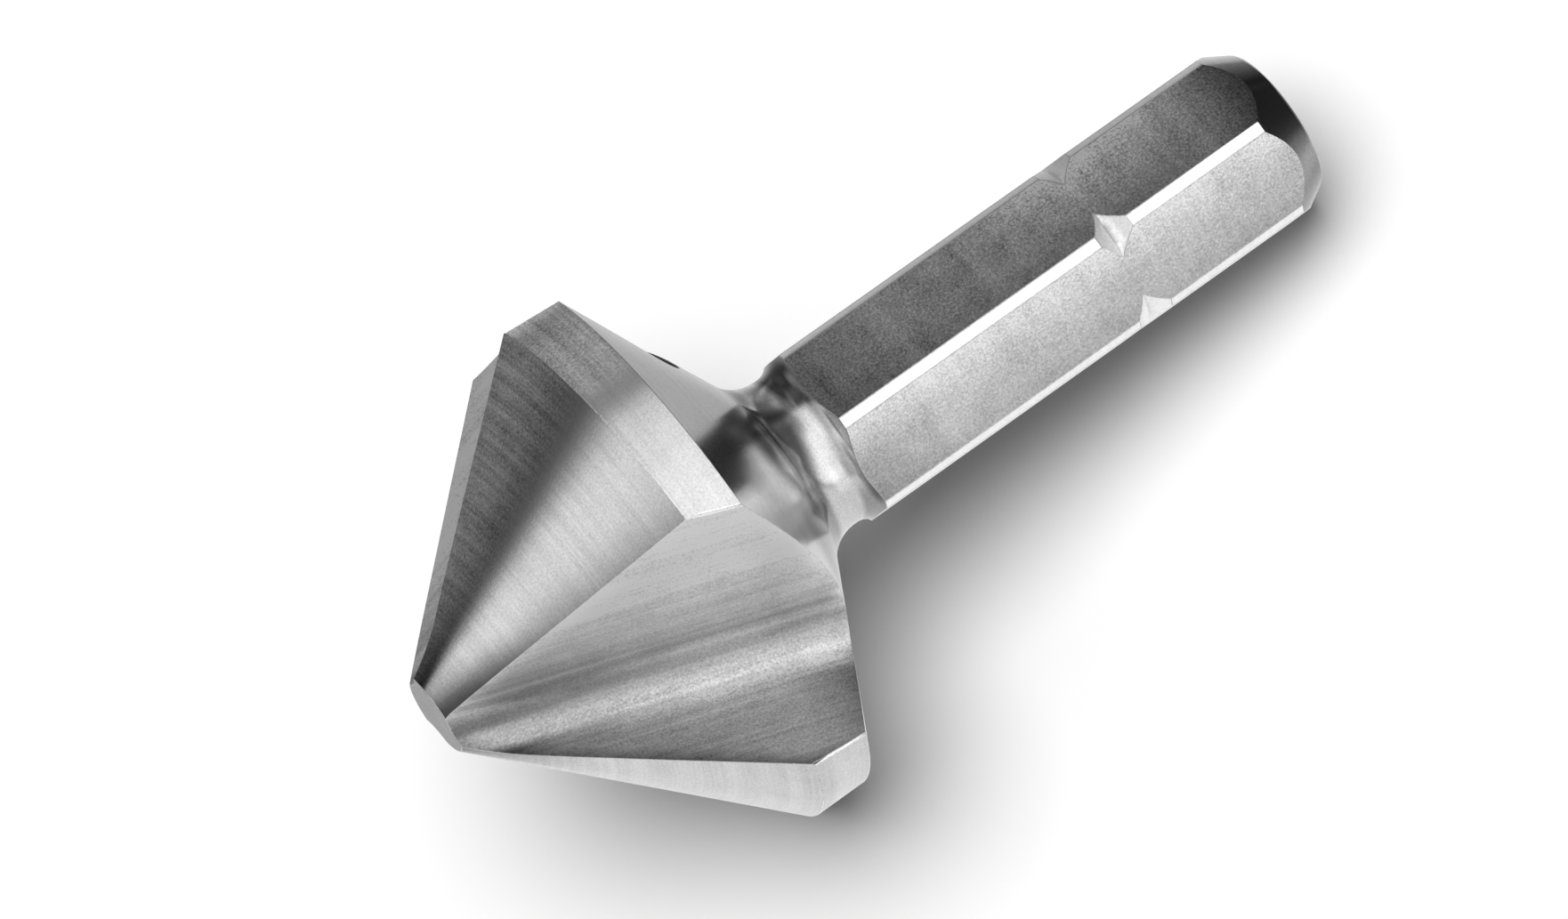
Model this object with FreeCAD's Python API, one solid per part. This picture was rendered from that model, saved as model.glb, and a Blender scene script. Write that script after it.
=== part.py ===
import FreeCAD, Part
import math
import os

# A one-piece countersink: a conical head with three flutes on a quarter-inch hexagon shank.
# It is worked out in a tool frame first, with the middle of the tip at the origin, the axis
# along +Z towards the shank and the first cutting corner on +X, and is laid down last.
# Lengths are in millimetres and angles in degrees.

# Head: a cone that ends in a small flat tip, with a short straight margin behind it
HEAD_DIAMETER = 20.5
POINT_ANGLE = 90.0
TIP_DIAMETER = 3.34
MARGIN_LENGTH = 2.08

# Lands: the width of each at the front of the margin, how far its cone has dropped there by its
# trailing edge, and how far ahead of the cutting edge relief starts, as a share of the flute
FLUTE_COUNT = 3
LAND_ANGLE = 59.1
LAND_RELIEF = 0.25
AHEAD_OF_EDGE = 1 / 3

# Flutes: two flat walls and a round root, run in a straight line that climbs away from the axis.
# The wall angles are measured in a plane square to the axis.
RAKE_ANGLE = 11.8
FLUTE_ANGLE = 71.3
FLUTE_ROOT_RADIUS = 1.4
FLUTE_SLOPE = 19.5
FLUTE_HEADING = 13.1

# Back of the head and neck
BACK_ANGLE = 123.0
NECK_DIAMETER = 5.9
NECK_LENGTH = 0.1
NECK_FRONT_RADIUS = 1.7
NECK_REAR_RADIUS = 0.8

# Shank: a hexagon with turned corners, turned from the cutting corner by a small angle
ACROSS_FLATS = 6.35
ACROSS_CORNERS = 7.1
SHANK_LENGTH = 19.45
HEXAGON_TURN = 1.2
END_FACE_DIAMETER = 5.3
END_CHAMFER_ANGLE = 30.0
END_ROUND_RADIUS = 0.4

# Retaining notches: one turned groove, so shallow that it crosses only the six corners
NOTCH_FROM_END = 8.05
NOTCH_DEPTH = 0.28
NOTCH_FRONT_ANGLE = 28.0
NOTCH_REAR_ANGLE = 19.0

# How far a cutting solid reaches past what it cuts
OVERCUT = 1.0

# The search for the resting tilt: its steepest answer, and how finely edges are sampled
STEEPEST_TILT = 45.0
TILT_HALVINGS = 50
POINTS_PER_EDGE = 60

# Places that follow from the sizes above
HEAD_RADIUS = HEAD_DIAMETER / 2
TIP_RADIUS = TIP_DIAMETER / 2
NECK_RADIUS = NECK_DIAMETER / 2
CORNER_RADIUS = ACROSS_CORNERS / 2
FLAT_RADIUS = ACROSS_FLATS / 2
END_FACE_RADIUS = END_FACE_DIAMETER / 2
PITCH_ANGLE = 360.0 / FLUTE_COUNT
HEXAGON_SIDES = 6
SIDE_ANGLE = 360.0 / HEXAGON_SIDES
CONE_SPREAD = math.tan(math.radians(POINT_ANGLE / 2))
MARGIN_FRONT_Z = (HEAD_RADIUS - TIP_RADIUS) / CONE_SPREAD
MARGIN_REAR_Z = MARGIN_FRONT_Z + MARGIN_LENGTH

AXIS = FreeCAD.Vector(0, 0, 1)
TIP_CENTRE = FreeCAD.Vector(0, 0, 0)


def radial(angle, length=1.0):
    """A vector square to the axis, at an angle from the first cutting corner."""
    turn = math.radians(angle)
    return FreeCAD.Vector(length * math.cos(turn), length * math.sin(turn), 0)


def half_section(radius, z):
    """A point of the turned profile."""
    return FreeCAD.Vector(radius, 0, z)


def arc_about(centre, radius, start_angle, end_angle):
    """An arc in the profile's plane, its angles measured from the outward radius towards +Z."""
    def on_arc(angle):
        turn = math.radians(angle)
        return centre + half_section(radius * math.cos(turn), radius * math.sin(turn))
    middle = (start_angle + end_angle) / 2
    arc = Part.Arc(on_arc(start_angle), on_arc(middle), on_arc(end_angle)).toShape()
    return arc, on_arc(start_angle), on_arc(end_angle)


def neck_start():
    """Centre of the arc that joins the back of the head to the neck."""
    half_back = math.radians(BACK_ANGLE / 2)
    centre_radius = NECK_RADIUS + NECK_FRONT_RADIUS
    drop = HEAD_RADIUS + NECK_FRONT_RADIUS * math.cos(half_back) - centre_radius
    along_axis = drop / math.tan(half_back) + NECK_FRONT_RADIUS * math.sin(half_back)
    return half_section(centre_radius, MARGIN_REAR_Z + along_axis)


def shoulder_centre():
    """Centre of the arc that swells from the neck to the corners of the shank."""
    return half_section(NECK_RADIUS + NECK_REAR_RADIUS, neck_start().z + NECK_LENGTH)


def shoulder_end_angle():
    """Where that arc reaches the radius of the shank's corners."""
    short_of_centre = NECK_RADIUS + NECK_REAR_RADIUS - CORNER_RADIUS
    return 180.0 - math.degrees(math.acos(short_of_centre / NECK_REAR_RADIUS))


def shank_start_z():
    return shoulder_centre().z + NECK_REAR_RADIUS * math.sin(math.radians(shoulder_end_angle()))


def overall_length():
    return shank_start_z() + SHANK_LENGTH


def end_round_centre():
    """Centre of the small arc between the end chamfer and the end face."""
    half_corner = math.radians(90.0 - END_CHAMFER_ANGLE) / 2
    inset = END_ROUND_RADIUS * math.tan(half_corner)
    return half_section(END_FACE_RADIUS - inset, overall_length() - END_ROUND_RADIUS)


def turned_blank():
    """The solid before any flute or flat: its half section turned about the axis."""
    front_arc, front_arc_start, front_arc_end = arc_about(
        neck_start(), NECK_FRONT_RADIUS, 180.0 + BACK_ANGLE / 2, 180.0)
    rear_arc, rear_arc_start, rear_arc_end = arc_about(
        shoulder_centre(), NECK_REAR_RADIUS, 180.0, shoulder_end_angle())
    end_arc, end_arc_start, end_arc_end = arc_about(
        end_round_centre(), END_ROUND_RADIUS, END_CHAMFER_ANGLE, 90.0)
    chamfer_length = (CORNER_RADIUS - END_FACE_RADIUS) / math.tan(math.radians(END_CHAMFER_ANGLE))
    chamfer_start = half_section(CORNER_RADIUS, overall_length() - chamfer_length)
    end_centre = half_section(0, overall_length())
    straight_runs = [
        (TIP_CENTRE, half_section(TIP_RADIUS, 0)),
        (half_section(TIP_RADIUS, 0), half_section(HEAD_RADIUS, MARGIN_FRONT_Z)),
        (half_section(HEAD_RADIUS, MARGIN_FRONT_Z), half_section(HEAD_RADIUS, MARGIN_REAR_Z)),
        (half_section(HEAD_RADIUS, MARGIN_REAR_Z), front_arc_start),
        (front_arc_end, rear_arc_start),
        (rear_arc_end, chamfer_start),
        (chamfer_start, end_arc_start),
        (end_arc_end, end_centre),
        (end_centre, TIP_CENTRE),
    ]
    edges = [Part.LineSegment(start, end).toShape() for start, end in straight_runs]
    outline = Part.Wire(Part.__sortEdges__(edges + [front_arc, rear_arc, end_arc]))
    return Part.Face(outline).revolve(TIP_CENTRE, AXIS, 360)


def land_relief(cutting_angle):
    """What relief removes from one land's cone.

    The relieved cone is the cutting cone moved sideways. It keeps its place at the cutting edge
    and drops further below it towards the trailing edge. The sector that it is cut from starts
    and ends inside the flutes, which take its two sides away.
    """
    shift = LAND_RELIEF / math.sin(math.radians(LAND_ANGLE))
    below = TIP_RADIUS / 2
    top_z = MARGIN_FRONT_Z + 2 * LAND_RELIEF / CONE_SPREAD
    height = top_z + below
    small_radius = TIP_RADIUS - below * CONE_SPREAD
    large_radius = TIP_RADIUS + top_z * CONE_SPREAD
    base = radial(cutting_angle - 90.0, shift) - AXIS * below
    cone = Part.makeCone(small_radius, large_radius, height, base, AXIS)
    sector = Part.makeCylinder(HEAD_DIAMETER, height, AXIS * -below, AXIS, PITCH_ANGLE)
    flute_width = PITCH_ANGLE - LAND_ANGLE
    sector.rotate(TIP_CENTRE, AXIS, cutting_angle - flute_width * AHEAD_OF_EDGE)
    return sector.cut(cone)


def flute_run():
    """The straight line that the grinding wheel follows, for each millimetre along the axis."""
    return AXIS + radial(FLUTE_HEADING, math.tan(math.radians(FLUTE_SLOPE)))


def flute_walls():
    """Corner and outward direction of the rake wall and of the back wall, at the margin's front."""
    rake_corner = radial(0, HEAD_RADIUS)
    back_corner = radial(LAND_ANGLE - PITCH_ANGLE, HEAD_RADIUS)
    return (rake_corner, radial(-RAKE_ANGLE)), (back_corner, radial(-RAKE_ANGLE - FLUTE_ANGLE))


def crossing(point_a, direction_a, point_b, direction_b):
    """Where two lines square to the axis cross."""
    apart = point_b - point_a
    along = apart.cross(direction_b).z / direction_a.cross(direction_b).z
    return point_a + direction_a * along


def flute(cutting_angle):
    """One flute as a solid.

    Its section is two flat walls and the round root that joins them. It is extruded along the
    wheel's line, from before the tip to the neck.
    """
    (rake_corner, rake_out), (back_corner, back_out) = flute_walls()
    bottom = crossing(rake_corner, rake_out, back_corner, back_out)
    half_angle = math.radians(FLUTE_ANGLE / 2)
    tangent = FLUTE_ROOT_RADIUS / math.tan(half_angle)
    root_depth = FLUTE_ROOT_RADIUS / math.sin(half_angle) - FLUTE_ROOT_RADIUS
    middle_out = radial(-RAKE_ANGLE - FLUTE_ANGLE / 2)
    reach = 2 * HEAD_DIAMETER
    rake_end = bottom + rake_out * tangent
    back_end = bottom + back_out * tangent
    rake_far = bottom + rake_out * reach
    back_far = bottom + back_out * reach
    edges = [
        Part.LineSegment(rake_far, rake_end).toShape(),
        Part.Arc(rake_end, bottom + middle_out * root_depth, back_end).toShape(),
        Part.LineSegment(back_end, back_far).toShape(),
        Part.LineSegment(back_far, rake_far).toShape(),
    ]
    section = Part.Face(Part.Wire(edges))
    section.translate(AXIS * MARGIN_FRONT_Z - flute_run() * (MARGIN_FRONT_Z + OVERCUT))
    groove = section.extrude(flute_run() * (OVERCUT + neck_start().z))
    groove.rotate(TIP_CENTRE, AXIS, cutting_angle)
    return groove


def outside_hexagon():
    """What is outside the flats, from the neck to past the end."""
    start_z = neck_start().z + NECK_LENGTH / 2
    length = overall_length() - start_z + OVERCUT
    corner = FLAT_RADIUS / math.cos(math.radians(SIDE_ANGLE / 2))
    turns = [HEXAGON_TURN + SIDE_ANGLE * k for k in range(HEXAGON_SIDES + 1)]
    corners = [radial(turn, corner) + AXIS * start_z for turn in turns]
    prism = Part.Face(Part.makePolygon(corners)).extrude(AXIS * length)
    return Part.makeCylinder(ACROSS_CORNERS, length, AXIS * start_z, AXIS).cut(prism)


def retaining_groove():
    """The turned groove that leaves a notch on each corner."""
    root_z = overall_length() - NOTCH_FROM_END
    height = NOTCH_DEPTH + OVERCUT
    root_radius = CORNER_RADIUS - NOTCH_DEPTH
    front_run = height / math.tan(math.radians(NOTCH_FRONT_ANGLE))
    rear_run = height / math.tan(math.radians(NOTCH_REAR_ANGLE))
    root = half_section(root_radius, root_z)
    front = half_section(root_radius + height, root_z - front_run)
    rear = half_section(root_radius + height, root_z + rear_run)
    return Part.Face(Part.makePolygon([root, front, rear, root])).revolve(TIP_CENTRE, AXIS, 360)


def countersink():
    """The finished tool in its own frame."""
    cutting_angles = [PITCH_ANGLE * k for k in range(FLUTE_COUNT)]
    tool = turned_blank()
    for angle in cutting_angles:
        tool = tool.cut(land_relief(angle))
    tool = tool.cut(outside_hexagon())
    tool = tool.cut(retaining_groove())
    for angle in cutting_angles:
        tool = tool.cut(flute(angle))
    return tool.removeSplitter()


def rim_angle(corner, outward):
    """Angle at which a flute wall crosses the rear rim of the margin."""
    slid = corner + radial(FLUTE_HEADING, math.tan(math.radians(FLUTE_SLOPE))) * MARGIN_LENGTH
    along = slid.dot(outward)
    to_rim = math.sqrt(along ** 2 - slid.dot(slid) + HEAD_RADIUS ** 2) - along
    on_rim = slid + outward * to_rim
    return math.degrees(math.atan2(on_rim.y, on_rim.x))


def resting_tilt(tool):
    """How far the axis drops towards the shank once the head and the shank's end both touch."""
    points = [point for edge in tool.Edges for point in edge.discretize(Number=POINTS_PER_EDGE)]
    head = [point for point in points if point.x < neck_start().z]
    shank = [point for point in points if point.x >= neck_start().z]

    def lowest(group, tilt):
        return min(point.z * math.cos(tilt) - point.x * math.sin(tilt) for point in group)

    low = 0.0
    high = math.radians(STEEPEST_TILT)
    for _ in range(TILT_HALVINGS):
        tilt = (low + high) / 2
        if lowest(head, tilt) < lowest(shank, tilt):
            low = tilt
        else:
            high = tilt
    return math.degrees(tilt)


def lay_down(tool):
    """Turn one flute straight down and tip the axis until the tool rests on three points.

    The tool rests on the two corners of that flute on the margin's rear rim and on the end of a
    flat of the shank. The axis then lies over X, with the shank towards +X.
    """
    (rake_corner, rake_out), (back_corner, back_out) = flute_walls()
    middle_of_flute = (rim_angle(rake_corner, rake_out) + rim_angle(back_corner, back_out)) / 2
    laid = tool.copy()
    laid.rotate(TIP_CENTRE, AXIS, -90.0 - middle_of_flute)
    laid.rotate(TIP_CENTRE, FreeCAD.Vector(1, 1, 1), 120)
    tilt = resting_tilt(laid)
    laid.rotate(TIP_CENTRE, FreeCAD.Vector(0, 1, 0), tilt)
    box = laid.optimalBoundingBox(True, False)
    laid.translate(FreeCAD.Vector(-box.Center.x, -box.Center.y, -box.ZMin))
    return laid, tilt, middle_of_flute


os.makedirs("parts", exist_ok=True)
part, tilt, middle_of_flute = lay_down(countersink())
part.exportStep("parts/countersink.step")

box = part.optimalBoundingBox(True, False)
print("valid", part.isValid(), "solids", len(part.Solids), "faces", len(part.Faces))
print("overall length %.2f mm, axis drops %.2f degrees" % (overall_length(), tilt))
print("flute middle at %.2f degrees from its cutting corner" % middle_of_flute)
print("box %.2f x %.2f x %.2f mm, volume %.1f mm3" % (box.XLength, box.YLength, box.ZLength, part.Volume))
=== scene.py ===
import math

import bmesh
import bpy
import numpy as np
from mathutils import Matrix, Vector


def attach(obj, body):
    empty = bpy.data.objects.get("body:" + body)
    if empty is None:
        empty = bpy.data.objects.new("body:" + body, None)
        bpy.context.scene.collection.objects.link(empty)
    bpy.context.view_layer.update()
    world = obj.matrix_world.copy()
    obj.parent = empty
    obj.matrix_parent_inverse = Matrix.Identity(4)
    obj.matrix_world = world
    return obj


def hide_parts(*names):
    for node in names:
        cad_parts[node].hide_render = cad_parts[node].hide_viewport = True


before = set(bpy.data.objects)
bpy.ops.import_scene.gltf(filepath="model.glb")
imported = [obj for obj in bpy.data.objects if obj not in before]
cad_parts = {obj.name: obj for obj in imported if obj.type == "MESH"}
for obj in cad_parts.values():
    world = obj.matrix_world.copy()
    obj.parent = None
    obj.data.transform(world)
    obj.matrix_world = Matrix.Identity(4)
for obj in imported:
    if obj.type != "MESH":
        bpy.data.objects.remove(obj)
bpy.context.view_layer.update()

# The tool frame: millimetres, the middle of the tip at the origin, the axis along +Z towards the
# shank, angles about it from the first cutting corner. These sizes are the part's own.
TIP_AT_ROW = np.array([-17.616, 0.0, 11.174])
ROLL = -62.69
AXIS_DROP = 13.33
HEAD_RADIUS = 10.25
MARGIN_FRONT_Z = 8.58
MARGIN_REAR_Z = 10.66
LAND_ANGLE = 59.1
LAND_RELIEF = 0.25
FLUTES = 3
PITCH = 360.0 / FLUTES
RAKE_ANGLE = 11.8
FLUTE_ANGLE = 71.3
FLUTE_ROOT_RADIUS = 1.4
FLUTE_SLOPE = 19.5
FLUTE_HEADING = 13.1
BACK_HALF_ANGLE = 61.5
NECK_RADIUS = 2.95
FRONT_ARC_RADIUS = 1.7
FRONT_ARC_Z = 15.635
REAR_ARC_RADIUS = 0.8
REAR_ARC_Z = 15.735
SHANK_START_Z = 16.51
SHANK_END_Z = 35.96
FLATS = 6
FLAT_PITCH = 360.0 / FLATS
FIRST_FLAT_ANGLE = 31.2
FLAT_RADIUS = 3.175
CORNER_RADIUS = 3.55
NOTCH_Z = 27.91
NOTCH_FRONT_ANGLE = 28.0
NOTCH_REAR_ANGLE = 19.0
END_FACE_RADIUS = 2.65
END_CHAMFER_ANGLE = 30.0
END_ROUND_RADIUS = 0.4
METRES = 0.001

# What tells a triangle's surface: how near its corners lie to a wall, a root or a flat, how
# squarely it faces along the axis or out of a flat, how far it leans along the axis on a land, in a
# notch and on the chamfer, and how far the rim, the lands and the notch reach.
ON_SURFACE = 0.004
SQUARE_TO_AXIS = 0.999
SQUARE_TO_FLAT = 0.9995
LAND_LEAN = 0.6
NOTCH_LEAN = 0.2
CHAMFER_LEAN = 0.52
RIM_DEPTH = 0.05
LAND_OVERLAP = 0.3
NOTCH_REACH = 1.2

# The angle from which an edge is broken, the widths of the breaks, how deep the burr on the
# margin's edges reaches, and the share of an edge along the axis from which it runs lengthways
SHARP_ANGLE = 12.0
EDGE_BREAK = 0.02
HEXAGON_EDGE_BREAK = 0.03
BURR_WIDTH = 0.10
BURR_DEPTH = 0.15
LENGTHWAYS = 0.9

# The second part of a place in the lay, which keeps the lines of the flats and the flutes apart
FIRST_FLAT_LAY = 40.0
FIRST_FLUTE_LAY = 100.0
LAY_STEP = 20.0
UPPER_FLAT = 2

LAMP_STRENGTH = 3.08
LAMP_WIDTH = 56.0
LAMP_FROM = Vector((-0.05, 0.02, 0.998))
FLOOR_FILL = 0.055


def radians(degrees):
    return np.radians(degrees)


def axes_of_tool():
    """The tool's X, Y and Z directions in the row frame, as rows of a matrix."""
    roll = radians(ROLL)
    drop = radians(AXIS_DROP)
    flat = np.array([
        [0.0, np.cos(roll), np.sin(roll)],
        [0.0, -np.sin(roll), np.cos(roll)],
        [1.0, 0.0, 0.0],
    ])
    tip_down = np.array([
        [np.cos(drop), 0.0, -np.sin(drop)],
        [0.0, 1.0, 0.0],
        [np.sin(drop), 0.0, np.cos(drop)],
    ])
    return flat @ tip_down


TOOL_AXES = axes_of_tool()


def to_tool(points):
    """Row-frame points in metres, as tool-frame points in millimetres."""
    return (points / METRES - TIP_AT_ROW) @ TOOL_AXES.T


def to_row(points):
    """Tool-frame points in millimetres, as row-frame points in metres."""
    return (TIP_AT_ROW + points @ TOOL_AXES) * METRES


def directions_to_row(directions):
    return directions @ TOOL_AXES


def radial(angle):
    """The direction straight out of the axis at an angle about it."""
    turn = radians(angle)
    return np.stack([np.cos(turn), np.sin(turn), np.zeros_like(turn)], axis=-1)


def unit(vectors):
    return vectors / np.maximum(np.linalg.norm(vectors, axis=-1, keepdims=True), 1e-12)


def turned(vector, angle):
    """A vector turned about the tool's axis."""
    turn = radians(angle)
    x = vector[..., 0] * np.cos(turn) - vector[..., 1] * np.sin(turn)
    y = vector[..., 0] * np.sin(turn) + vector[..., 1] * np.cos(turn)
    return np.stack([x, y, np.broadcast_to(vector[..., 2], x.shape)], axis=-1)


def normals_of(points, faces):
    """Each triangle's normal, from the cross product of two of its sides."""
    corners = points[faces]
    return unit(np.cross(corners[:, 1] - corners[:, 0], corners[:, 2] - corners[:, 0]))


# Surfaces of the tool, each with its own lay of machining lines. EDGE is every broken edge.
(TIP, LAND, MARGIN, FLARE, FRONT_ARC, NECK, REAR_ARC, FLAT, CORNER, GROOVE, CHAMFER, END_ROUND,
 END_FACE, WALL, ROOT, BURR, EDGE) = range(17)

FLUTE_RUN = np.array([0.0, 0.0, 1.0]) + math.tan(radians(FLUTE_SLOPE)) * radial(FLUTE_HEADING)


def flute_section():
    """Corner of the two walls, their outward directions and the root arc's centre, where the flute
    crosses the plane of the margin's front."""
    rake_out = radial(-RAKE_ANGLE)[:2]
    back_out = radial(-RAKE_ANGLE - FLUTE_ANGLE)[:2]
    rake_corner = HEAD_RADIUS * radial(0.0)[:2]
    back_corner = HEAD_RADIUS * radial(LAND_ANGLE - PITCH)[:2]
    apart = back_corner - rake_corner
    crossed = rake_out[0] * back_out[1] - rake_out[1] * back_out[0]
    bottom = rake_corner + rake_out * (apart[0] * back_out[1] - apart[1] * back_out[0]) / crossed
    middle_out = radial(-RAKE_ANGLE - FLUTE_ANGLE / 2)[:2]
    centre = bottom + middle_out * FLUTE_ROOT_RADIUS / math.sin(radians(FLUTE_ANGLE / 2))
    return bottom, rake_out, back_out, centre


def in_flute(points, k):
    """Points carried back along the wheel's line to flute k's section, and how far each has run."""
    run = points[:, 2] - MARGIN_FRONT_Z
    return turned(points, -PITCH * k)[:, :2] - run[:, None] * FLUTE_RUN[:2], run


def off_flute(points, k):
    """How far points are from the rake wall, from the back wall and from the root of flute k, and
    their place along the section's outline, from the middle of the root towards the back wall."""
    far_off = 9.0
    overlap = 0.02
    bottom, rake_out, back_out, centre = flute_section()
    flat, _ = in_flute(points, k)
    from_bottom = flat - bottom
    tangent = FLUTE_ROOT_RADIUS / math.tan(radians(FLUTE_ANGLE / 2))
    along_rake = from_bottom @ rake_out
    along_back = from_bottom @ back_out
    off_rake = np.abs(from_bottom @ np.array([-rake_out[1], rake_out[0]]))
    off_back = np.abs(from_bottom @ np.array([-back_out[1], back_out[0]]))
    off_rake = np.where(along_rake > tangent - overlap, off_rake, far_off)
    off_back = np.where(along_back > tangent - overlap, off_back, far_off)
    from_centre = flat - centre
    off_root = np.abs(np.linalg.norm(from_centre, axis=1) - FLUTE_ROOT_RADIUS)
    between = (along_rake < tangent + overlap) & (along_back < tangent + overlap)
    off_root = np.where(between, off_root, far_off)

    middle_out = unit(rake_out + back_out)
    turn = np.arctan2(middle_out[0] * from_centre[:, 1] - middle_out[1] * from_centre[:, 0],
                      -(from_centre @ middle_out))
    side = np.sign(middle_out[0] * back_out[1] - middle_out[1] * back_out[0])
    half = FLUTE_ROOT_RADIUS * radians(90.0 - FLUTE_ANGLE / 2)
    outline = FLUTE_ROOT_RADIUS * turn * side
    outline = np.where(along_rake > tangent, tangent - along_rake - half, outline)
    on_back = (along_back > tangent) & (off_back < off_rake)
    outline = np.where(on_back, along_back - tangent + half, outline)
    return off_rake, off_back, off_root, outline


def surfaces_of(points, faces):
    """Which surface each triangle lies on, and which flute, land or flat of it."""
    corners = points[faces]
    middle = corners.mean(axis=1)
    normal = normals_of(points, faces)
    lean = normal[:, 2]
    radius = np.hypot(middle[:, 0], middle[:, 1])
    angle = np.degrees(np.arctan2(middle[:, 1], middle[:, 0]))
    z = middle[:, 2]
    flat_k = np.round((angle - FIRST_FLAT_ANGLE) / FLAT_PITCH) % FLATS
    flat_out = radial(FIRST_FLAT_ANGLE + FLAT_PITCH * flat_k)
    from_flat = (corners * flat_out[:, None, :]).sum(axis=2) - FLAT_RADIUS
    faces_out = (normal * flat_out).sum(axis=1) > SQUARE_TO_FLAT
    on_flat = faces_out | (np.abs(from_flat).max(axis=1) < ON_SURFACE)
    chamfer_depth = CORNER_RADIUS - END_FACE_RADIUS
    chamfer_z = SHANK_END_Z - chamfer_depth / math.tan(radians(END_CHAMFER_ANGLE))
    front_arc_start_z = FRONT_ARC_Z - FRONT_ARC_RADIUS * math.sin(radians(BACK_HALF_ANGLE))
    surface = np.select([
        lean < -SQUARE_TO_AXIS,
        (z < MARGIN_FRONT_Z + LAND_OVERLAP) & (lean < -LAND_LEAN),
        (z < MARGIN_REAR_Z) & (radius > HEAD_RADIUS - RIM_DEPTH),
        z < front_arc_start_z,
        z < FRONT_ARC_Z,
        z < REAR_ARC_Z,
        on_flat,
        z < SHANK_START_Z,
        (np.abs(z - NOTCH_Z) < NOTCH_REACH) & (np.abs(lean) > NOTCH_LEAN),
        z < chamfer_z,
        lean > SQUARE_TO_AXIS,
        (lean < CHAMFER_LEAN) | (z < SHANK_END_Z - END_ROUND_RADIUS),
    ], [TIP, LAND, MARGIN, FLARE, FRONT_ARC, NECK, FLAT, REAR_ARC, GROOVE, CORNER, END_FACE,
        CHAMFER], END_ROUND)
    land_k = np.round((angle - LAND_ANGLE / 2) / PITCH) % FLUTES
    which = np.where(surface == FLAT, flat_k, land_k)
    for k in range(FLUTES):
        distances = [off_flute(corners[:, i], k)[:3] for i in range(3)]
        off_rake, off_back, off_root = np.max(distances, axis=0)
        wall = (np.minimum(off_rake, off_back) < ON_SURFACE) & (z < FRONT_ARC_Z)
        root = ~wall & (off_root < ON_SURFACE) & (z < FRONT_ARC_Z)
        surface = np.where(wall, WALL, np.where(root, ROOT, surface))
        which = np.where(wall | root, k, which)
    return surface, which


def tool_mesh():
    """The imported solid's triangles as arrays, with its doubled points merged."""
    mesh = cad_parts["countersink"].data
    made = bmesh.new()
    made.from_mesh(mesh)
    bmesh.ops.remove_doubles(made, verts=made.verts, dist=5e-7)
    bmesh.ops.triangulate(made, faces=made.faces)
    points = np.array([v.co for v in made.verts], float)
    faces = np.array([[v.index for v in f.verts] for f in made.faces])
    made.free()
    return points, faces


def edge_weights(points, faces, surface, which):
    """Edges between two surfaces that meet at an angle, and how wide each is broken, as a share of
    the widest.

    An edge between a flat and a corner is broken only where it runs lengthways, and the edges of
    both along the chamfer stay sharp."""
    sides = np.sort(np.concatenate([faces[:, [0, 1]], faces[:, [1, 2]], faces[:, [2, 0]]]), axis=1)
    owner = np.tile(np.arange(len(faces)), 3)
    order = np.lexsort((sides[:, 1], sides[:, 0]))
    shared = sides[order][0::2]
    first = owner[order][0::2]
    second = owner[order][1::2]
    normal = normals_of(points, faces)
    bend = np.degrees(np.arccos(np.clip((normal[first] * normal[second]).sum(axis=1), -1, 1)))
    apart = (surface[first] != surface[second]) | (which[first] != which[second])
    sharp = apart & (bend > SHARP_ANGLE)
    low = np.minimum(surface[first], surface[second])
    high = np.maximum(surface[first], surface[second])
    hexagon_edge = (low == FLAT) & (high == CORNER)
    width = np.full(len(low), EDGE_BREAK)
    width[(low == MARGIN) & (high == WALL)] = BURR_WIDTH
    width[hexagon_edge] = HEXAGON_EDGE_BREAK
    span = points[shared[:, 1]] - points[shared[:, 0]]
    lengthways = np.abs(span[:, 2]) > LENGTHWAYS * np.linalg.norm(span, axis=1)
    sharp &= ~(np.isin(low, (FLAT, CORNER)) & (high >= CHAMFER))
    sharp &= ~(hexagon_edge & ~lengthways)
    return shared[sharp], width[sharp] / BURR_WIDTH


def broken_edges(points, faces, surface, which):
    """The tool's mesh in millimetres, with a narrow round on each edge. A face's material number is
    its surface, and its attribute says which flute, land or flat it is."""
    mesh = bpy.data.meshes.new("countersink_with_edges")
    mesh.from_pydata(points.tolist(), [], faces.tolist())
    for _ in range(EDGE + 1):
        mesh.materials.append(None)
    mesh.polygons.foreach_set("material_index", surface.astype(np.int32))
    mesh.attributes.new("which", "INT", "FACE").data.foreach_set("value", which.astype(np.int32))
    ends = np.sort(read(mesh, "edges", "vertices", 2, int), axis=1)
    sharp_ends, share = edge_weights(points, faces, surface, which)
    size = len(points)
    share_of = {int(a) * size + int(b): w for (a, b), w in zip(sharp_ends, share)}
    weights = np.array([share_of.get(int(a) * size + int(b), 0.0) for a, b in ends])
    mesh.attributes.new("bevel_weight_edge", "FLOAT", "EDGE").data.foreach_set("value", weights)
    piece = bpy.data.objects.new("countersink_with_edges", mesh)
    bpy.context.scene.collection.objects.link(piece)
    bevel = piece.modifiers.new("edge break", "BEVEL")
    bevel.limit_method = "WEIGHT"
    bevel.width = BURR_WIDTH
    bevel.segments = 2
    bevel.material = EDGE
    bevel.use_clamp_overlap = False
    finished = piece.evaluated_get(bpy.context.evaluated_depsgraph_get())
    made = bpy.data.meshes.new_from_object(finished)
    bpy.data.objects.remove(piece)
    return made


def read(mesh, items, name, width, kind=float):
    """A mesh's values as an array."""
    values = np.zeros(len(getattr(mesh, items)) * width, np.float32 if kind is float else np.int32)
    getattr(mesh, items).foreach_get(name, values)
    return values.reshape(-1, width).astype(kind) if width > 1 else values.astype(kind)


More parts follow.
